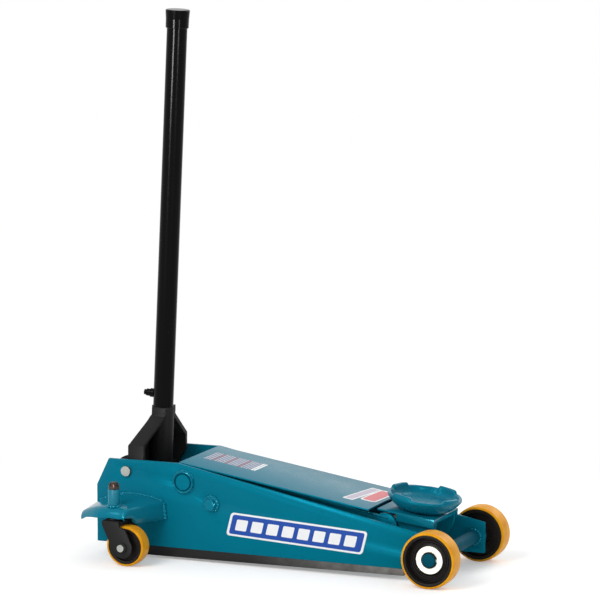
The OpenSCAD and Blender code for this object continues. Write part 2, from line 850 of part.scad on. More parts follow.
// Pin of the arm's front end, with a head on the left and a clip on the right
module front_pin() {
    color(teal) {
        ybar(front_x, front_z, 18, -arm_out - 3, arm_out + 2.5);
        ybar(front_x, front_z, 25, arm_out + gap, arm_out + 3);
        ybar(front_x, front_z, 23, -arm_out - 3, -arm_out - gap);
    }
}

module rod_pin() {
    color(steel) {
        ybar(rod_x, rod_z, pin_d, -rod_mid - 7, rod_mid + 7);
        both() {
            ybar(rod_x, rod_z, 20, rod_mid + 4 + gap, rod_mid + 7);
            yring(rod_x, rod_z, 22, pin_d + 2 * fit, cheek_out + gap, rod_mid - 4 - gap);
        }
    }
}

// Round rod with an eye at each end, beside the lift arm
module level_rod(name) {
    run = sqrt(pow(rod_x - anchor_x, 2) + pow(rod_z - anchor_z, 2));
    dip = atan((anchor_z - rod_z) / (rod_x - anchor_x));
    color(teal) side(name) difference() {
        union() {
            translate([anchor_x, rod_mid, anchor_z]) rotate([0, dip, 0])
                translate([12, 0, 0]) rotate([0, 90, 0]) cylinder(d = rod_d, h = run - 24);
            for (e = [[anchor_x, anchor_z], [rod_x, rod_z]])
                ybar(e[0], e[1], 30, rod_mid - 4, rod_mid + 4);
        }
        for (e = [[anchor_x, anchor_z], [rod_x, rod_z]])
            ybar(e[0], e[1], pin_d + 2 * fit, rod_mid - 9, rod_mid + 9);
    }
}

// Cast cup with four raised lugs
module saddle() {
    r = saddle_d / 2;
    wall = 7;
    lug_span = 36;
    profile = [[0, 0], [40, 0], [r - 12, 7], [r - 3, saddle_h - 10], [r, saddle_h - 5],
        [r, saddle_h], [r - wall, saddle_h], [r - wall - 5, 13], [0, 10]];
    color(teal) on_holder() translate([0, 0, gap]) {
        rotate_extrude() polygon(profile);
        for (i = [0:3]) rotate(70 + 90 * i - lug_span / 2) rotate_extrude(angle = lug_span)
            polygon([[r - wall, saddle_h - 1], [r, saddle_h - 1], [r - 1, saddle_h + lug_h],
                [r - wall + 1, saddle_h + lug_h]]);
    }
}

// Stem under the saddle, turning in the holder, with a snap ring below it
module saddle_stem() {
    color(steel) on_holder() {
        translate([0, 0, -18]) cylinder(d = 25, h = 18 + gap);
        translate([0, 0, -12]) cylinder(d = 32, h = 12 - 8 - gap);
    }
}

// Places its children on the holder's top, on the saddle's own axis
module on_holder() {
    about(saddle_x, cap_z, saddle_lean) translate([saddle_x, 0, cap_z]) children();
}

side_plate("left");  // side_plate_left
side_plate("right");  // side_plate_right
cross_ties();
skid_rails();
unit_cradle();
front_axle();
wheel_washers();
axle_clips();
main_shaft();
shaft_rings();
anchor_bolts();
yoke_pins();
caster_bracket("left");  // caster_bracket_left
caster_bracket("right");  // caster_bracket_right
kingpin_sleeves();
pump_block();
oil_tank();
unit_plugs();
front_hub("left");  // front_hub_left
front_tread("left");  // front_tread_left
front_hub("right");  // front_hub_right
front_tread("right");  // front_tread_right
caster_fork("left");  // caster_fork_left
kingpin("left");  // kingpin_left
caster_hub("left");  // caster_hub_left
caster_tread("left");  // caster_tread_left
caster_bolt("left");  // caster_bolt_left
caster_fork("right");  // caster_fork_right
kingpin("right");  // kingpin_right
caster_hub("right");  // caster_hub_right
caster_tread("right");  // caster_tread_right
caster_bolt("right");  // caster_bolt_right
yoke();
roller_pin();
pump_roller();
handle_stub();
handle_tube();
handle_cap();
set_screw();
pump_plunger();
plunger_spring();
release_spindle();
ram();
crosshead();
ram_links();
return_springs();
arm_plate("left");  // arm_plate_left
arm_plate("right");  // arm_plate_right
arm_web();
arm_hub();
arm_cover();
lever_plates();
lever_pins();
saddle_holder();
front_pin();
rod_pin();
level_rod("left");  // level_rod_left
level_rod("right");  // level_rod_right
saddle();
saddle_stem();
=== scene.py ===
import json
from math import cos, pi, radians, sin

import bmesh
import bpy
import numpy as np
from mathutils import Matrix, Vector


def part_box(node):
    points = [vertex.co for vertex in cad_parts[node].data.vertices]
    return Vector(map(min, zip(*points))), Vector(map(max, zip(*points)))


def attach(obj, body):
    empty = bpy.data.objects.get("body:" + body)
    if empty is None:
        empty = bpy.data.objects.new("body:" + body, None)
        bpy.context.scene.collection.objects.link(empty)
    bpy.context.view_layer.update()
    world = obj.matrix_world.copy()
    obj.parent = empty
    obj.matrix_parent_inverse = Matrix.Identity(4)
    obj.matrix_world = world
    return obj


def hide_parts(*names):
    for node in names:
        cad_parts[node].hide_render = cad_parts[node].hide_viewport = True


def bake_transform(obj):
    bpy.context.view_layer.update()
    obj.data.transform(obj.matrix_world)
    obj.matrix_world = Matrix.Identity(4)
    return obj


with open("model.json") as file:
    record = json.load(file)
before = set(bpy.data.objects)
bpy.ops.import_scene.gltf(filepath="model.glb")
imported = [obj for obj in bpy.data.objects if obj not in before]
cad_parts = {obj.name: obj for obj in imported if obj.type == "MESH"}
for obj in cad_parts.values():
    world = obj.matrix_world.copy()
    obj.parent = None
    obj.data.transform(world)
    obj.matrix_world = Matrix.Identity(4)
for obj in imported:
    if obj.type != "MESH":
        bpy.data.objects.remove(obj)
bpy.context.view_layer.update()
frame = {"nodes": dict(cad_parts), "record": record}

nodes = frame["nodes"]


# Studio. A pale seamless floor, a broad soft lamp above the camera's left and a weaker one behind,
# at a level where a painted colour shows about as it is written. Two boxes beside the camera show
# only in reflections, as the long light lines on round tubes.
def linear(code):
    """An sRGB hex colour as linear RGBA: ((c + 0.055) / 1.055) ** 2.4, or c / 12.92 where dark."""
    c = np.array([int(code[i:i + 2], 16) / 255 for i in (1, 3, 5)])
    c = np.where(c > 0.04045, ((c + 0.055) / 1.055) ** 2.4, c / 12.92)
    return (*c.tolist(), 1.0)


def add(tree, kind, inputs=None, **settings):
    """Adds a shader node with its settings; an input is a plain value or another node's output."""
    node = tree.nodes.new("ShaderNode" + kind)
    for name, value in settings.items():
        setattr(node, name, value)
    for name, value in (inputs or {}).items():
        if isinstance(value, bpy.types.NodeSocket):
            tree.links.new(value, node.inputs[name])
        else:
            node.inputs[name].default_value = value
    return node


def blank(name):
    """A new material and its emptied node tree."""
    material = bpy.data.materials.new(name)
    material.use_nodes = True
    material.node_tree.nodes.clear()
    return material, material.node_tree


def seen_directly(tree):
    """1 for rays from the camera, from a glossy surface or through glass, and 0 for the rest."""
    path = add(tree, "LightPath")
    first = add(tree, "Math", {0: path.outputs["Is Camera Ray"],
                               1: path.outputs["Is Glossy Ray"]}, operation="MAXIMUM")
    return add(tree, "Math", {0: first.outputs[0], 1: path.outputs["Is Transmission Ray"]},
               operation="MAXIMUM").outputs[0]


scene = bpy.context.scene
scene.view_settings.view_transform = "Standard"

# The camera stands 7.4 m off, to the right of square, and looks down by some 9 degrees.
camera = bpy.data.objects.new("camera", bpy.data.cameras.new("camera"))
camera.data.lens = 249.1
camera.data.sensor_width = 36
camera.data.clip_end = 60
camera.location = (2.8875, -6.6406, 1.5945)
camera.rotation_euler = (radians(81.151), 0, radians(23.471))
scene.collection.objects.link(camera)
scene.camera = camera

world = bpy.data.worlds.new("studio")
scene.world = world
world.use_nodes = True
tree = world.node_tree
tree.nodes.clear()
# The surroundings are seen as pure white, and light the part at 0.62 of that.
strength = add(tree, "MapRange", {"Value": seen_directly(tree), "To Min": 0.62, "To Max": 1.0})
backdrop = add(tree, "Background", {"Color": (1, 1, 1, 1), "Strength": strength.outputs[0]})
add(tree, "OutputWorld", {"Surface": backdrop.outputs[0]})


def soft_lamp(name, place, target, size, tall, watts, fill=True):
    """A soft lamp, size wide and tall high, that faces its target; without fill it only shows in
    reflections."""
    lamp = bpy.data.lights.new(name, "AREA")
    lamp.shape = "RECTANGLE"
    lamp.size = size
    lamp.size_y = tall
    lamp.energy = watts
    holder = bpy.data.objects.new(name, lamp)
    holder.location = place
    holder.rotation_euler = (Vector(target) - Vector(place)).to_track_quat("-Z", "Y").to_euler()
    holder.visible_diffuse = fill
    scene.collection.objects.link(holder)


soft_lamp("key", (-1.2, -3.7, 3.4), (0, 0, 0.2), 2.2, 2.2, 104)
soft_lamp("back", (1.5, 3.8, 3.0), (0, 0, 0.2), 2.4, 2.4, 60)
soft_lamp("left_box", (-0.68, -2.57, 0.72), (-0.27, 0, 0.72), 0.5, 0.4, 45, fill=False)
soft_lamp("right_box", (1.58, -1.82, 0.74), (-0.27, 0, 0.74), 0.5, 0.35, 18, fill=False)

floor_mesh = bpy.data.meshes.new("floor")
floor_mesh.from_pydata([(-20, -20, 0), (20, -20, 0), (20, 20, 0), (-20, 20, 0)], [],
                       [(0, 1, 2, 3)])
floor = bpy.data.objects.new("floor", floor_mesh)
scene.collection.objects.link(floor)
paper, tree = blank("white_paper_floor")
matt = add(tree, "BsdfDiffuse", {"Color": linear("#f2f2f2")})
lift = add(tree, "Math", {0: seen_directly(tree), 1: 0.3}, operation="MULTIPLY")
glow = add(tree, "Emission", {"Color": (1, 1, 1, 1), "Strength": lift.outputs[0]})
both = add(tree, "AddShader", {0: matt.outputs[0], 1: glow.outputs[0]})
# Some half a metre from the middle the floor starts to turn into the white backdrop.
away = add(tree, "VectorMath", {0: add(tree, "TexCoord").outputs["Object"]}, operation="LENGTH")
far = add(tree, "MapRange", {"Value": away.outputs["Value"], "From Min": 0.45, "From Max": 1.1},
          interpolation_type="SMOOTHSTEP")
share = add(tree, "Math", {0: far.outputs[0], 1: seen_directly(tree)}, operation="MULTIPLY")
white = add(tree, "Emission", {"Color": (1, 1, 1, 1), "Strength": 1.0})
paper_mix = add(tree, "MixShader", {0: share.outputs[0], 1: both.outputs[0],
                                    2: white.outputs[0]})
add(tree, "OutputMaterial", {"Surface": paper_mix.outputs[0]})
floor_mesh.materials.append(paper)


# Side plates. Two flat plates of 6 mm steel, plasma cut and sprayed with gloss teal enamel, whose
# film rounds every edge a little and dries with a faint orange peel.
body_of = {node: body for body, held in frame["record"]["behaviour"]["bodies"].items()
           for node in held}
slot_of = {part["node"]: part["material_slot"] for part in frame["record"]["subparts"]}


def enamel(name, code, rough=0.3, shine=0.5, peel=0.00005, wave=0.007, drift=0.05,
           tint="#ffffff"):
    """Spray enamel. Its tone drifts by a share over some 90 mm, and low waves in the film, as wide
    as wave and as high as peel in metres, bend the highlights, which take the tint head on."""
    material, tree = blank(name)
    place = add(tree, "TexCoord").outputs["Object"]
    cloud = add(tree, "TexNoise", {"Vector": place, "Scale": 1 / 0.09, "Detail": 3.0})
    base = linear(code)
    low = [c * (1 - drift) for c in base[:3]] + [1]
    high = [c * (1 + drift) for c in base[:3]] + [1]
    tone = add(tree, "Mix", {0: cloud.outputs["Fac"], 6: low, 7: high}, data_type="RGBA")
    ripple = add(tree, "TexNoise", {"Vector": place, "Scale": 1 / wave, "Detail": 2.0})
    waves = add(tree, "Bump", {"Height": ripple.outputs["Fac"], "Distance": peel,
                               "Strength": 1.0})
    smear = add(tree, "TexNoise", {"Vector": place, "Scale": 1 / 0.03, "Detail": 4.0})
    gloss = add(tree, "MapRange", {"Value": smear.outputs["Fac"], "To Min": rough * 0.8,
                                   "To Max": rough * 1.3})
    shader = add(tree, "BsdfPrincipled", {
        "Base Color": tone.outputs[2], "Roughness": gloss.outputs[0], "IOR": 1.5,
        "Specular IOR Level": shine, "Specular Tint": linear(tint),
        "Normal": waves.outputs[0]})
    add(tree, "OutputMaterial", {"Surface": shader.outputs[0]})
    return material


def join(made, body, material, slot, *stands_for):
    """Puts a finished piece in the scene: its material, body and the nodes it replaces. The slot is
    not used.
    """
    if made.name not in scene.collection.objects:
        scene.collection.objects.link(made)
    made.data.materials.clear()
    made.data.materials.append(material)
    if body:
        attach(made, body)
    if stands_for:
        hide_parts(*stands_for)
    return made


def softened(node, width, material):
    """A cut, folded or cast piece: its flats are joined up, and each edge that turns by more than
    30 degrees is rounded over width."""
    made = bpy.data.objects.new(node + "_finished", nodes[node].data.copy())
    work = bmesh.new()
    work.from_mesh(made.data)
    bmesh.ops.remove_doubles(work, verts=work.verts, dist=0.00002)
    bmesh.ops.dissolve_limit(work, angle_limit=radians(1), verts=work.verts, edges=work.edges)
    bmesh.ops.recalc_face_normals(work, faces=work.faces)
    work.to_mesh(made.data)
    work.free()
    made.data.shade_smooth()
    edges = made.modifiers.new("edges", "BEVEL")
    edges.width = width
    edges.segments = 2
    edges.limit_method = "ANGLE"
    edges.angle_limit = radians(30)
    edges.harden_normals = True
    return join(made, body_of[node], material, slot_of[node], node)


teal = enamel("teal_gloss_enamel_on_steel", "#057289", 0.28, 0.5, tint="#0592b0")
for side in ("left", "right"):
    softened("side_plate_" + side, 0.0009, teal)


# Side labels. A white vinyl panel with one blue field, the same on each plate; it carries no words,
# only a row of equal plain white blocks.
def printed(name, code, rough=0.35):
    """Printed vinyl film: one colour, with faint specks some 4 mm wide."""
    material, tree = blank(name)
    place = add(tree, "TexCoord").outputs["Object"]
    speck = add(tree, "TexNoise", {"Vector": place, "Scale": 1 / 0.004, "Detail": 3.0})
    base = linear(code)
    tone = add(tree, "Mix", {0: speck.outputs["Fac"], 6: [c * 0.95 for c in base[:3]] + [1],
                             7: [min(1, c * 1.04) for c in base[:3]] + [1]}, data_type="RGBA")
    shader = add(tree, "BsdfPrincipled", {"Base Color": tone.outputs[2], "Roughness": rough,
                                          "IOR": 1.46, "Specular IOR Level": 0.2})
    add(tree, "OutputMaterial", {"Surface": shader.outputs[0]})
    return material


def film(name, corner, along, up, span, rise, radius, lift, material, body, lean=0.0):
    """A thin printed film on a teal plate: a rectangle span by rise with rounded corners, leaning
    by lean per unit of rise, laid from its low corner along and up, and lift off the plate."""
    a = np.linspace(0, pi / 2, 7)
    centres = np.array([[span - radius, rise - radius], [radius, rise - radius],
                        [radius, radius], [span - radius, radius]])
    turn = a[None, :] + np.arange(4)[:, None] * pi / 2
    flat = centres[:, None, :] + radius * np.stack([np.cos(turn), np.sin(turn)], -1)
    flat = flat.reshape(-1, 2)
    flat[:, 0] += lean * flat[:, 1]
    along, up, corner = (np.array(v, float) for v in (along, up, corner))
    out = np.cross(along, up)
    face = corner + flat[:, :1] * along + flat[:, 1:] * up
    points = np.concatenate([face, face + out * lift])
    n = len(face)
    ring = np.arange(n)
    sides = np.stack([ring, np.roll(ring, -1), np.roll(ring, -1) + n, ring + n], -1)
    mesh = bpy.data.meshes.new(name)
    mesh.from_pydata(points.tolist(), [], sides.tolist() + [ring[::-1].tolist(),
                                                          (ring + n).tolist()])
    return join(bpy.data.objects.new(name, mesh), body, material, "teal_paint")


white_vinyl = printed("white_vinyl_film", "#f4f5f6")
blue_ink = printed("blue_screen_print_on_vinyl", "#1c4da8")
plate_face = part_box("side_plate_left")[1].y
width, height, slant = 0.2615, 0.0422, 0.20
run = np.array([0.9987, 0.0, -0.0505])
rise = np.array([0.0505, 0.0, 0.9987])
# Name, low corner along and up, width, height, corner radius, height off the plate, and ink.
fields = [("panel", 0, 0, width, height, 0.006, 0.0003, white_vinyl),
          ("field", 0.0045, 0.0035, 0.2525, 0.0352, 0.004, 0.0005, blue_ink)]
fields += [(f"block_{i}", 0.0145 + 0.0298 * i, 0.0110, 0.0215, 0.0200, 0.002, 0.0007,
            white_vinyl) for i in range(8)]
for side, sign in (("left", 1), ("right", -1)):
    along = -sign * run
    start = np.array([0.0369, sign * plate_face, 0.0677])
    start -= (width + slant * height) / 2 * along + height / 2 * rise
    for part, x, z, w, h, radius, lift, ink in fields:
        film(f"side_label_{part}_{side}", start + (x + slant * z) * along + z * rise, along, rise,
             w, h, radius, lift, ink, "chassis", slant)


# Skid rails. Black bars welded under the plates, thinner towards the front, where a painted
# reflection of the white floor greys them in patches.
rail_paint, tree = blank("black_enamel_with_painted_floor_reflection")
place = add(tree, "TexCoord").outputs["Object"]
axes = add(tree, "SeparateXYZ", {0: place})
reflection_patches = add(tree, "TexNoise", {"Vector": place, "Scale": 1 / 0.02, "Detail": 5.0})
# The light grey mixed in towards the front is a painted reflection of the white floor, broken into
# patches by the noise.
painted_reflection_ramp = add(tree, "MapRange", {"Value": axes.outputs["X"], "From Min": -0.05, "From Max": 0.2,
                              "To Min": 0.0, "To Max": 0.8})
share = add(tree, "Math", {0: painted_reflection_ramp.outputs[0], 1: reflection_patches.outputs["Fac"]}, operation="MULTIPLY")
tone = add(tree, "Mix", {0: share.outputs[0], 6: linear("#201f1f"), 7: linear("#9c9b97")},
           data_type="RGBA")
shader = add(tree, "BsdfPrincipled", {"Base Color": tone.outputs[2], "Roughness": 0.5,
                                      "Specular IOR Level": 0.15})
add(tree, "OutputMaterial", {"Surface": shader.outputs[0]})
softened("skid_rails", 0.001, rail_paint)


# Plain painted and plated pieces keep their solids and take their finish from here.
def machined(name, code, rough=0.3, grit=0.0012):
    """Bare or plated steel: fine tool marks as wide as grit bend the reflections a little."""
    material, tree = blank(name)
    place = add(tree, "TexCoord").outputs["Object"]
    mark = add(tree, "TexNoise", {"Vector": place, "Scale": 1 / grit, "Detail": 2.0})
    cloud = add(tree, "TexNoise", {"Vector": place, "Scale": 1 / 0.012, "Detail": 3.0})
    gloss = add(tree, "MapRange", {"Value": cloud.outputs["Fac"], "To Min": rough * 0.7,
                                   "To Max": rough * 1.5})
    base = linear(code)
    tone = add(tree, "Mix", {0: cloud.outputs["Fac"], 6: [c * 0.85 for c in base[:3]] + [1],
                             7: [min(1, c * 1.1) for c in base[:3]] + [1]}, data_type="RGBA")
    bump = add(tree, "Bump", {"Height": mark.outputs["Fac"], "Distance": 0.00004})
    shader = add(tree, "BsdfPrincipled", {
        "Base Color": tone.outputs[2], "Metallic": 1.0, "Roughness": gloss.outputs[0],
        "Normal": bump.outputs[0]})
    add(tree, "OutputMaterial", {"Surface": shader.outputs[0]})
    return material


def finish(material, *names):
    """Gives plain solids their material."""
    for name in names:
        for held in nodes[name].material_slots:
            held.material = material


zinc = machined("zinc_plated_steel_gone_grey", "#8f918c", 0.42, 0.0008)
spring_wire = machined("oiled_spring_steel", "#6b6b68", 0.3)
pale_zinc = machined("dull_zinc_plate", "#d6d5ca", 0.55)
brass = machined("turned_brass", "#c8b070", 0.25)
copper = machined("coppered_split_pin_wire", "#96705f", 0.5)
chrome = machined("hard_chrome_ground_smooth", "#dcdcdc", 0.08, 0.0008)
cast_black = enamel("black_paint_on_sand_cast_iron", "#1c1d1e", 0.55, 0.15, 0.00025, 0.004, 0.15)
black = enamel("black_enamel_on_steel", "#171615", 0.42, 0.12, 0.00005, 0.006, 0.12)

finish(teal, "cross_ties", "unit_cradle", "arm_web", "arm_hub", "lever_plates", "level_rod_left",
       "level_rod_right", "ram_links", "main_shaft", "front_pin")
finish(zinc, "yoke_pins", "roller_pin", "pump_roller", "pump_plunger", "rod_pin", "lever_pins",
       "saddle_stem", "caster_bolt_left", "caster_bolt_right")
finish(brass, "unit_plugs")
finish(chrome, "ram")
finish(cast_black, "pump_block", "crosshead", "oil_tank", "release_spindle")
finish(black, "axle_clips", "handle_stub")
finish(enamel("phosphate_coat_on_steel", "#3a3431", 0.4, 0.3, 0.0001, 0.002, 0.2),
       "kingpin_left", "kingpin_right")
finish(pale_zinc, "wheel_washers")
for node, width in {"arm_cover": 0.0006, "arm_plate_left": 0.001, "arm_plate_right": 0.001}.items():
    softened(node, width, teal)
softened("kingpin_sleeves", 0.0008, enamel("teal_enamel_on_tube", "#04788f", 0.35, 0.2))
# The axle's paint is rougher, and its colour is a darker copy of the teal: painted shade between
# the plates. The welded rings and bolts took a thicker, wetter coat.
softened("front_axle", 0.0012, enamel("teal_enamel_dulled_with_painted_shade_on_axle", "#054a5c", 0.55, 0.12,
                                      tint="#60d0e8"))
wet_teal = enamel("teal_gloss_enamel_wet_coat", "#057289", 0.16, 0.45, 0.00012, 0.004, 0.08,
                  "#60d0e8")
softened("anchor_bolts", 0.0008, wet_teal)
softened("saddle_holder", 0.0014, wet_teal)


# Yoke and caster forks. Folded plate, the yoke's round a bored socket tube, in black-brown paint.
yoke_paint = enamel("black_brown_enamel_on_plate", "#1f1e1e", 0.5, 0.12, 0.00006, 0.005, 0.12)
softened("yoke", 0.0012, yoke_paint)
for side in ("left", "right"):
    softened("caster_fork_" + side, 0.001, yoke_paint)
# The handle is smoother and darker, so that it mirrors the two boxes as thin lines.
finish(enamel("black_gloss_enamel_on_tube", "#070707", 0.14, 0.07, 0.000004, 0.03, 0.1),
       "handle_tube", "handle_cap", "set_screw")


# Wheels. Each has a black cast hub under a bonded tread of amber polyurethane, both turned round
# the same axle: a profile carried round a circle.
def quads(index):
    """Faces between the neighbouring rows and columns of a grid of point numbers."""
    return np.stack([index[:-1, :-1], index[1:, :-1], index[1:, 1:], index[:-1, 1:]],
                    -1).reshape(-1, 4).tolist()


def tube_faces(rows, sides, ends=True):
    """Faces round a tube of rows rings with sides points each, and its two flat ends."""
    index = np.arange(rows * sides).reshape(rows, sides)
    index = np.concatenate([index, index[:, :1]], 1)
    faces = np.stack([index[:-1, :-1], index[:-1, 1:], index[1:, 1:], index[1:, :-1]],
                     -1).reshape(-1, 4).tolist()
    if ends:
        faces += [index[0, :-1][::-1].tolist(), index[-1, :-1].tolist()]
    return faces


def smooth_skin(name, points, faces, weld=None):
    """A smooth shaded object whose faces all face out; points within weld metres become one."""
    mesh = bpy.data.meshes.new(name)
    mesh.from_pydata(points.reshape(-1, 3).tolist(), [], faces)
    work = bmesh.new()
    work.from_mesh(mesh)
    if weld:
        bmesh.ops.remove_doubles(work, verts=work.verts, dist=weld)
    bmesh.ops.recalc_face_normals(work, faces=work.faces)
    work.to_mesh(mesh)
    work.free()
    mesh.shade_smooth()
    return bpy.data.objects.new(name, mesh)


def turned(name, profile, centre, axis, body, material, slot, *stands_for, sides=96):
    """A turned piece: each profile point (radius r, height h) goes round the axis as
    centre + h * axis + r * (cos a, sin a)."""
    axis = np.array(axis, float)
    u = np.cross(axis, [0.0, 0.0, 1.0] if abs(axis[2]) < 0.9 else [1.0, 0.0, 0.0])
    u /= np.linalg.norm(u)
    v = np.cross(axis, u)
    a = np.arange(sides) * 2 * pi / sides
    circle = np.cos(a)[:, None] * u + np.sin(a)[:, None] * v
    profile = np.array(profile, float)
    points = (np.array(centre) + profile[:, 1, None, None] * axis
              + profile[:, 0, None, None] * circle[None])
    rows = len(profile)
    index = np.arange(rows * sides).reshape(rows, sides)
    index = np.concatenate([index, index[:, :1]], 1)
    index = np.concatenate([index, index[:1]], 0)
    made = smooth_skin(name, points, quads(index), weld=1e-6)
    made.data.set_sharp_from_angle(angle=radians(35))
    return join(made, body, material, slot, *stands_for)


def arc(centre_r, centre_h, radius, start, end, count=6):
    """Points of a rounded corner in a turned profile."""
    return [(centre_r + radius * cos(radians(a)), centre_h + radius * sin(radians(a)))
            for a in np.linspace(start, end, count)]


amber, tree = blank("cast_amber_polyurethane")
place = add(tree, "TexCoord").outputs["Object"]
cloud = add(tree, "TexNoise", {"Vector": place, "Scale": 1 / 0.022, "Detail": 5.0,
                               "Roughness": 0.6})
tone = add(tree, "ValToRGB", {"Fac": cloud.outputs["Fac"]})
tone.color_ramp.elements[0].position = 0.3
tone.color_ramp.elements[0].color = linear("#d98c12")
tone.color_ramp.elements[1].position = 0.68
tone.color_ramp.elements[1].color = linear("#eeab20")
grain = add(tree, "TexNoise", {"Vector": place, "Scale": 1 / 0.003, "Detail": 2.0})
bump = add(tree, "Bump", {"Height": grain.outputs["Fac"], "Distance": 0.00006})
shader = add(tree, "BsdfPrincipled", {"Base Color": tone.outputs[0], "Roughness": 0.4,
                                      "IOR": 1.5, "Normal": bump.outputs[0],
                                      "Specular IOR Level": 0.25,
                                      "Specular Tint": linear("#ffc050"),
                                      "Subsurface Weight": 0.15, "Subsurface Scale": 0.004})
add(tree, "OutputMaterial", {"Surface": shader.outputs[0]})
hub_iron = enamel("black_brown_paint_on_cast_iron", "#1c1816", 0.45, 0.12, 0.00012, 0.003, 0.2)


def tread_profile(core, outer, width, crown, shoulder):
    """Section of a tread: a low crown between two rounded shoulders, and a straight bore."""
    crest = [(outer - crown * (2 * t - 1) ** 2, width * t)
             for t in np.linspace(0.12, 0.88, 9)]
    low = arc(outer - crown - shoulder, shoulder, shoulder, -90, 0)
    high = arc(outer - crown - shoulder, width - shoulder, shoulder, 0, 90)
    return [(core, 0.0)] + low + crest[1:-1] + high + [(core, width)]


def wheel_frame(node, sign=1):
    """Middle of a tread's inner side, or of its low side where sign is 1, its width and radius."""
    low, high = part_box(node)
    centre = [(low.x + high.x) / 2, low.y if sign > 0 else high.y, (low.z + high.z) / 2]
    return centre, high.y - low.y, (high.z - low.z) / 2


for side, sign in (("left", 1), ("right", -1)):
    centre, wide, radius = wheel_frame("front_tread_" + side, sign)
    out = (0, sign, 0)
    core = 0.0455
    turned("front_tread_surface_" + side, tread_profile(core, radius, wide, 0.0006, 0.0028),
           centre, out, "front_wheel_" + side, amber, "tread_amber", "front_tread_" + side)
    # The front hub is dished on its outer side, where three turned rings stand up from the web.
    bore, dish = 0.01205, 0.0215
    hub = [(bore, 0.0), (0.021, 0.0), (0.021, 0.008), (0.0385, 0.008), (0.0395, 0.0)]
    hub += [(core, 0.0), (core, wide - 0.001)] + arc(core - 0.0015, wide - 0.0015, 0.0015, 0, 90, 4)
    hub += arc(0.0418, wide - 0.0015, 0.0015, 90, 180, 4) + [(0.0398, dish + 0.004)]
    for r in (0.0375, 0.0335, 0.0295):
        hub += [(r + 0.0012, dish - 0.0012), (r + 0.0006, dish + 0.0004),
                (r - 0.0006, dish + 0.0004), (r - 0.0014, dish - 0.0012)]
    hub += [(0.026, dish - 0.0005), (0.0248, dish), (bore, dish)]
    turned("front_hub_surface_" + side, hub, centre, out, "front_wheel_" + side, hub_iron,
           "hub_black", "front_hub_" + side)
    # The caster's hub is the same on both sides, with a boss 8 mm past the tread on each.
    centre, wide, radius = wheel_frame("caster_tread_" + side)
    core = radius - 0.0045
    turned("caster_tread_surface_" + side, tread_profile(core, radius, wide, 0.0005, 0.0028),
           centre, (0, 1, 0), "caster_wheel_" + side, amber, "tread_amber",
           "caster_tread_" + side)
    bore, boss = 0.00605, 0.008
    half = [(bore, -boss), (0.0114, -boss), (0.0119, 0.0005 - boss), (0.0121, 0.0052),
            (0.0258, 0.0060), (0.0270, 0.0008)]
    half += arc(core - 0.0012, 0.0012, 0.0012, -90, 0, 4)
    hub = half + [(r, wide - h) for r, h in half[::-1]]
    turned("caster_hub_surface_" + side, hub, centre, (0, 1, 0), "caster_wheel_" + side,
           hub_iron, "hub_black", "caster_hub_" + side)


# Caster brackets. Each wing is pressed from 4 mm plate: an arched top that falls outwards, rolled
# over into a lip whose lower edge rises and drops, and welded along its root to the side plate.
kingpin_x, kingpin_y = -0.282, 0.167


def arched(x):
    """Height of the wing over its kingpin line: a parabola, steeper to the rear."""
    d = np.asarray(x) - kingpin_x
    return np.where(d < 0, 0.106 - 0.020 * (d / 0.070) ** 2, 0.106 - 0.010 * (d / 0.062) ** 2)


def wing_top(x, y):
    """Height of the wing: the arch, falling by a tenth across its width."""
    return arched(x) - 0.0958 * (y - kingpin_y)


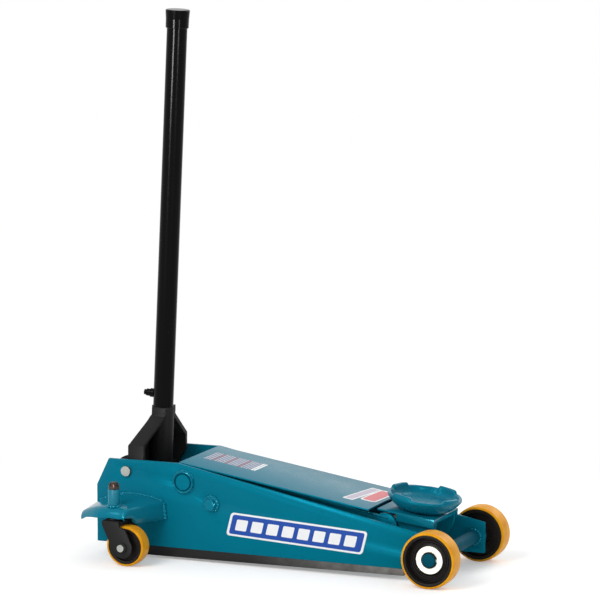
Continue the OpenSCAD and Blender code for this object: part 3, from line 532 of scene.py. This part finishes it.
def wing(side, sign):
    """A height field over a grid: x runs from the cut rear edge to the front bend, y from the root
    to the outer edge. Near the outer edge the top rolls over in a quarter circle whose radius grows
    forwards, and it bends down sharply in front. Two skirts hang from those edges."""
    root, rear = 0.0905, -0.3525
    bend = 0.0045
    turn = np.linspace(0, pi / 2, 10)[1:]
    across = np.r_[np.linspace(0, 1, 24), np.full(9, 1.0)]
    rolled = np.r_[np.zeros(24), turn]
    along = np.r_[np.linspace(0, 1, 48), np.full(9, 1.0)]
    bent = np.r_[np.zeros(48), turn]
    rows = []
    for t, a in zip(along, bent):
        # The front bend's place hangs on y and the outer edge's on x, so both are found in turns.
        y = np.full(33, root)
        for _ in range(3):
            front = -0.217 - 0.0365 * (y - 0.0915) / 0.095 - bend * (1 - sin(a))
            x = rear + t * (front - rear)
            roll = np.interp(x, [rear, -0.306, -0.264, -0.2535], [0.011, 0.017, 0.017, 0.0145])
            edge = 0.157 + 0.0295 * np.minimum(1, (x - rear) / 0.0465)
            edge = edge - 0.002 * np.exp(-((x + 0.306) / 0.008) ** 2)
            y = root + across * (edge - roll - root) + roll * np.sin(rolled)
        z = wing_top(x, y) - roll * (1 - np.cos(rolled)) - bend * (1 - cos(a))
        rows.append(np.stack([x, y, z], -1))
    top = np.array(rows)
    lip, flange = top[:, -1], top[-1]
    lip_foot = np.interp(lip[:, 0], [rear, -0.335, -0.306], [0.0735, 0.0825, 0.088])
    flange_foot = np.interp(flange[:, 1], [0.0915, 0.1620, 0.1645, 0.185],
                            [0.071, 0.0755, 0.0850, 0.0878])
    patches = [top]
    for edge, foot in ((lip, lip_foot), (flange, flange_foot)):
        foot = np.minimum(foot, edge[:, 2] - 0.0005)
        down = [edge + (0, 0, 1) * ((foot - edge[:, 2]) * t)[:, None] for t in (0, 0.5, 1)]
        patches.append(np.array(down))
    work = bmesh.new()
    for patch in patches:
        patch = patch * [1, sign, 1]
        made = [work.verts.new(v) for v in patch.reshape(-1, 3)]
        for face in quads(np.arange(len(made)).reshape(patch.shape[:2])):
            work.faces.new([made[k] for k in face])
    bmesh.ops.remove_doubles(work, verts=work.verts, dist=1e-5)
    bmesh.ops.recalc_face_normals(work, faces=work.faces)
    if sum(face.normal.z * face.calc_area() for face in work.faces) < 0:
        bmesh.ops.reverse_faces(work, faces=work.faces)
    mesh = bpy.data.meshes.new("caster_wing_" + side)
    work.to_mesh(mesh)
    work.free()
    mesh.shade_smooth()
    mesh.set_sharp_from_angle(angle=radians(40))
    made = bpy.data.objects.new("caster_wing_" + side, mesh)
    wall = made.modifiers.new("wall", "SOLIDIFY")
    wall.thickness = 0.0038
    wall.offset = -1
    join(made, "chassis", wet_teal, "teal_paint", "caster_bracket_" + side)


def bead(name, path, radius, body, pitch=0.0055, material=None, slot="teal_paint"):
    """A weld bead: a tube along the path whose radius swells by a sixth once in every pitch."""
    path = np.asarray(path, float)
    run = np.r_[0, np.cumsum(np.linalg.norm(np.diff(path, axis=0), axis=1))]
    n = max(12, int(run[-1] / pitch * 7))
    s = np.linspace(0, run[-1], n)
    line = np.stack([np.interp(s, run, path[:, k]) for k in range(3)], -1)
    ahead = np.gradient(line, axis=0)
    ahead /= np.linalg.norm(ahead, axis=1)[:, None]
    u = np.cross(ahead, [0.31, 0.52, 0.79])
    u /= np.linalg.norm(u, axis=1)[:, None]
    v = np.cross(ahead, u)
    a = np.arange(10) * pi / 5
    swell = radius * (1 + 0.16 * np.sin(2 * pi * s / pitch)
                      + 0.06 * np.sin(2 * pi * s / (pitch * 3.7) + 1))
    swell[0] = swell[-1] = radius * 0.05
    points = (line[:, None] + swell[:, None, None]
              * (np.cos(a)[None, :, None] * u[:, None] + np.sin(a)[None, :, None] * v[:, None]))
    made = smooth_skin(name, points, tube_faces(n, len(a)))
    return join(made, body, material or wet_teal, slot)


for side, sign in (("left", 1), ("right", -1)):
    wing(side, sign)
    x = np.linspace(-0.346, -0.222, 40)
    root = np.c_[x, np.full(40, 0.0925 * sign), wing_top(x, 0.0925) + 0.0005]
    down = np.c_[np.linspace(-0.220, -0.2165, 12), np.full(12, 0.0935 * sign),
                 np.linspace(wing_top(-0.22, 0.0935) - 0.001, 0.072, 12)]
    bead("wing_weld_top_" + side, root, 0.0026, "chassis")
    bead("wing_weld_front_" + side, down, 0.0034, "chassis", 0.007)
    a = np.linspace(0, 2 * pi, 60)
    foot = np.stack([kingpin_x + 0.0112 * np.cos(a), sign * (kingpin_y + 0.0112 * np.sin(a))], -1)
    bead("sleeve_weld_" + side, np.c_[foot, wing_top(foot[:, 0], abs(foot[:, 1])) + 0.0004],
         0.0019, "chassis")
    # The split pin lies across the castle nut, with both of its ends bent down.
    t = np.array([-0.0113, -0.0104, 0.0104, 0.0113])
    pin = np.c_[kingpin_x + 0.4 * t, sign * (kingpin_y + 0.917 * t), [0.139, 0.144, 0.144, 0.1385]]
    bead("split_pin_" + side, pin, 0.0014, body_of["kingpin_" + side], 0.05, copper,
         "zinc_steel")


# Rings welded round the main shaft's ends, and the levelling rods' anchor bolts: short fillet
# welds, painted over with everything else.
def ring_path(centre, radius, start, end, count=60):
    """Points of a circular arc about a cross line, in degrees from +X towards +Z."""
    a = np.radians(np.linspace(start, end, count))
    return np.stack([centre[0] + radius * np.cos(a), np.full(count, centre[1]),
                     centre[2] + radius * np.sin(a)], -1)


for side, sign in (("left", 1), ("right", -1)):
    face = sign * (plate_face + 0.0008)
    # The welded ring stands proud round the shaft's end, with a groove 2.6 mm wide between them.
    shaft_end = (-0.1815, sign * plate_face, 0.142)
    ring = [(0.0165, -0.001), (0.0165, 0.0034), (0.0172, 0.0044), (0.0184, 0.0050),
            (0.0194, 0.0047), (0.0200, 0.0038), (0.0200, -0.001)]
    turned("shaft_ring_" + side, ring, shaft_end, (0, sign, 0), "chassis", wet_teal,
           "teal_paint", "shaft_rings")
    boss = [(0, 0), (0, 0.0046), (0.0130, 0.0046), (0.0139, 0.0037), (0.0139, 0)]
    turned("shaft_end_" + side, boss, shaft_end, (0, sign, 0), "chassis", teal, "teal_paint")
    bead("shaft_ring_weld_" + side, ring_path(shaft_end, 0.0204, 20, 335), 0.0016, "chassis")
    bead("anchor_weld_" + side, ring_path((-0.1275, face, 0.1065), 0.0140, -60, 200), 0.0021,
         "chassis", 0.006)
    bead("axle_collar_weld_" + side, ring_path((0.3025, face, 0.05), 0.0186, 0, 360), 0.0020,
         "chassis")
    inner = sign * (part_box("side_plate_left")[0].y - 0.0012)
    bead("rear_tie_weld_" + side, ring_path((-0.3365, inner, 0.044), 0.0138, 0, 360), 0.0022,
         "chassis")
    bead("axle_weld_" + side, ring_path((0.3025, inner, 0.05), 0.0128, 0, 360), 0.0026,
         "chassis")


# Return springs and pump spring. Round wire coils: the wire's centre climbs a helix, and its
# surface is a small circle round that line.
def coil(name, start, end, radius, wire, turns, node):
    """Point on the wire at turn s and round it at b:
    along + wire * sin b, (radius + wire * cos b) * (cos, sin) of the turn."""
    start, end = np.array(start, float), np.array(end, float)
    n = int(turns * 18)
    s = np.linspace(0, 1, n)
    b = np.arange(8) * pi / 4
    span = end[0] - start[0] - 2 * wire
    swell = np.full(n, wire)
    swell[[0, -1]] = wire * 0.05
    turn = 2 * pi * turns * s
    reach = radius + swell[:, None] * np.cos(b)
    points = np.stack([
        start[0] + wire + span * s[:, None] + swell[:, None] * np.sin(b),
        start[1] + reach * np.cos(turn)[:, None],
        start[2] + reach * np.sin(turn)[:, None]], -1)
    made = smooth_skin(name, points, tube_faces(n, len(b)))
    join(made, None, spring_wire, "spring_steel", node)
    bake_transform(made)


low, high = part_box("return_springs")
mid = (low.z + high.z) / 2
for side, sign in (("left", 1), ("right", -1)):
    coil("return_spring_coil_" + side, (low.x, sign * 0.016, mid), (high.x, sign * 0.016, mid),
         0.0054, 0.0011, 38, "return_springs")
low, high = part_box("plunger_spring")
middle = ((low.y + high.y) / 2, (low.z + high.z) / 2)
coil("pump_spring_coil", (low.x, *middle), (high.x, *middle), 0.0086, 0.0008, 4.5,
     "plunger_spring")


# Saddle. A sand cast dish, knuckled rim with four raised lugs, left rough and sprayed teal. It is
# worked out round its own axis, then leaned and set on its holder.
cast_teal = enamel("teal_enamel_on_sand_casting", "#067088", 0.26, 0.5, 0.0006, 0.004, 0.12,
                   "#30b8d0")
# Its section in mm, radius and height: out along the foot, up to the rim and back over the dish.
section = np.array([[0.0, 0.0], [40.0, 0.0], [47.0, 3.2], [57.5, 10.5], [63.4, 19.0],
                    [66.0, 21.6], [66.0, 24.5], [65.2, 26.4], [63.4, 27.0], [61.2, 27.0],
                    [59.6, 26.2], [58.6, 23.5], [57.0, 18.5], [54.0, 14.6], [48.0, 12.6],
                    [36.0, 11.6], [18.0, 10.6], [0.0, 10.0]]) / 1000
rim_share = np.array([0, 0, 0, 0, .1, .3, .8, 1, 1, 1, 1, .6, .2, 0, 0, 0, 0, 0])
a = np.arange(240) * 2 * pi / 240
# Four lugs, each 39 degrees wide at the foot, stand 5 mm up from the rim.
off = np.abs((np.degrees(a)[:, None] - np.array([70, 160, 250, 340]) + 180) % 360 - 180).min(1)
lug = np.clip((19.5 - off) / 3.0, 0, 1)
lug = lug * lug * (3 - 2 * lug)
r = section[:, 0, None] - 0.0008 * rim_share[:, None] * lug
h = section[:, 1, None] + 0.005 * rim_share[:, None] * lug + 0.0005
# Six random waves, 0.13 mm high, are the sand's unevenness.
draw = np.random.default_rng(11)
for _ in range(6):
    k, m, p = draw.integers(3, 17), draw.uniform(80, 300), draw.uniform(0, 6.3)
    h = h + 0.00013 * np.sin(k * a + m * r * 6.3 + p) * (section[:, 0, None] > 0.02)
lean = radians(7)
x, y = r * np.cos(a), r * np.sin(a)
points = np.stack([0.240 + x * cos(lean) + h * sin(lean), y,
                   0.110 - x * sin(lean) + h * cos(lean)], -1)
faces = tube_faces(len(section), len(a), ends=False)
made = smooth_skin("saddle_casting", points, faces, weld=1e-6)
made.modifiers.new("smooth", "SUBSURF").levels = 1
made.modifiers["smooth"].render_levels = 1
join(made, "saddle_cup", cast_teal, "saddle_paint", "saddle")


# Cover labels. A block of ruled film at the rear of the arm's cover plate, and at its front a strip
# and a block of white vinyl, each with one plain field inside.
slope = 0.152
cover_along = np.array([1.0, 0.0, -slope]) / np.hypot(1, slope)
lilac = printed("lilac_ruled_film", "#c9c0d0", 0.4)
red_ink = printed("red_screen_print_on_vinyl", "#b9767c", 0.4)
rose_ink = printed("rose_screen_print_on_vinyl", "#e2858a", 0.4)


def cover_film(name, x, y, span, rise, radius, lift, ink, lean=0.0):
    """A film on the cover's top, with its low corner over (x, y)."""
    corner = np.array([x, y, 0.1761 - slope * (x + 0.1935)])
    film(name, corner, cover_along, (0, 1, 0), span, rise, radius, lift, ink, "lift_arm", lean)


for line in range(20):
    wide, ink = 0.0027, red_ink if line % 5 == 3 else lilac
    if line > 17:
        wide, ink = 0.0040, white_vinyl
    cover_film(f"cover_rule_{line}", -0.174 + 0.00505 * line, -0.021, wide, 0.058, 0.0004, 0.0002,
               ink)
cover_film("cover_badge_strip", 0.107, -0.052, 0.020, 0.108, 0.003, 0.0002, white_vinyl, 0.12)
cover_film("cover_badge_field", 0.1105, -0.047, 0.013, 0.098, 0.002, 0.0004, lilac, 0.12)
cover_film("cover_badge_block", 0.132, -0.034, 0.030, 0.090, 0.008, 0.0002, white_vinyl, 0.06)
cover_film("cover_badge_rose", 0.1355, -0.029, 0.023, 0.080, 0.006, 0.0004, rose_ink, 0.06)
# A bead of weld runs down the front of each arm plate.
for side, sign in (("left", 1), ("right", -1)):
    edge = np.array([[0.146, 0.0575 * sign, 0.1112], [0.170, 0.0578 * sign, 0.1068],
                     [0.197, 0.0575 * sign, 0.1018]])
    bead("arm_weld_" + side, edge, 0.0022, "lift_arm", 0.007)
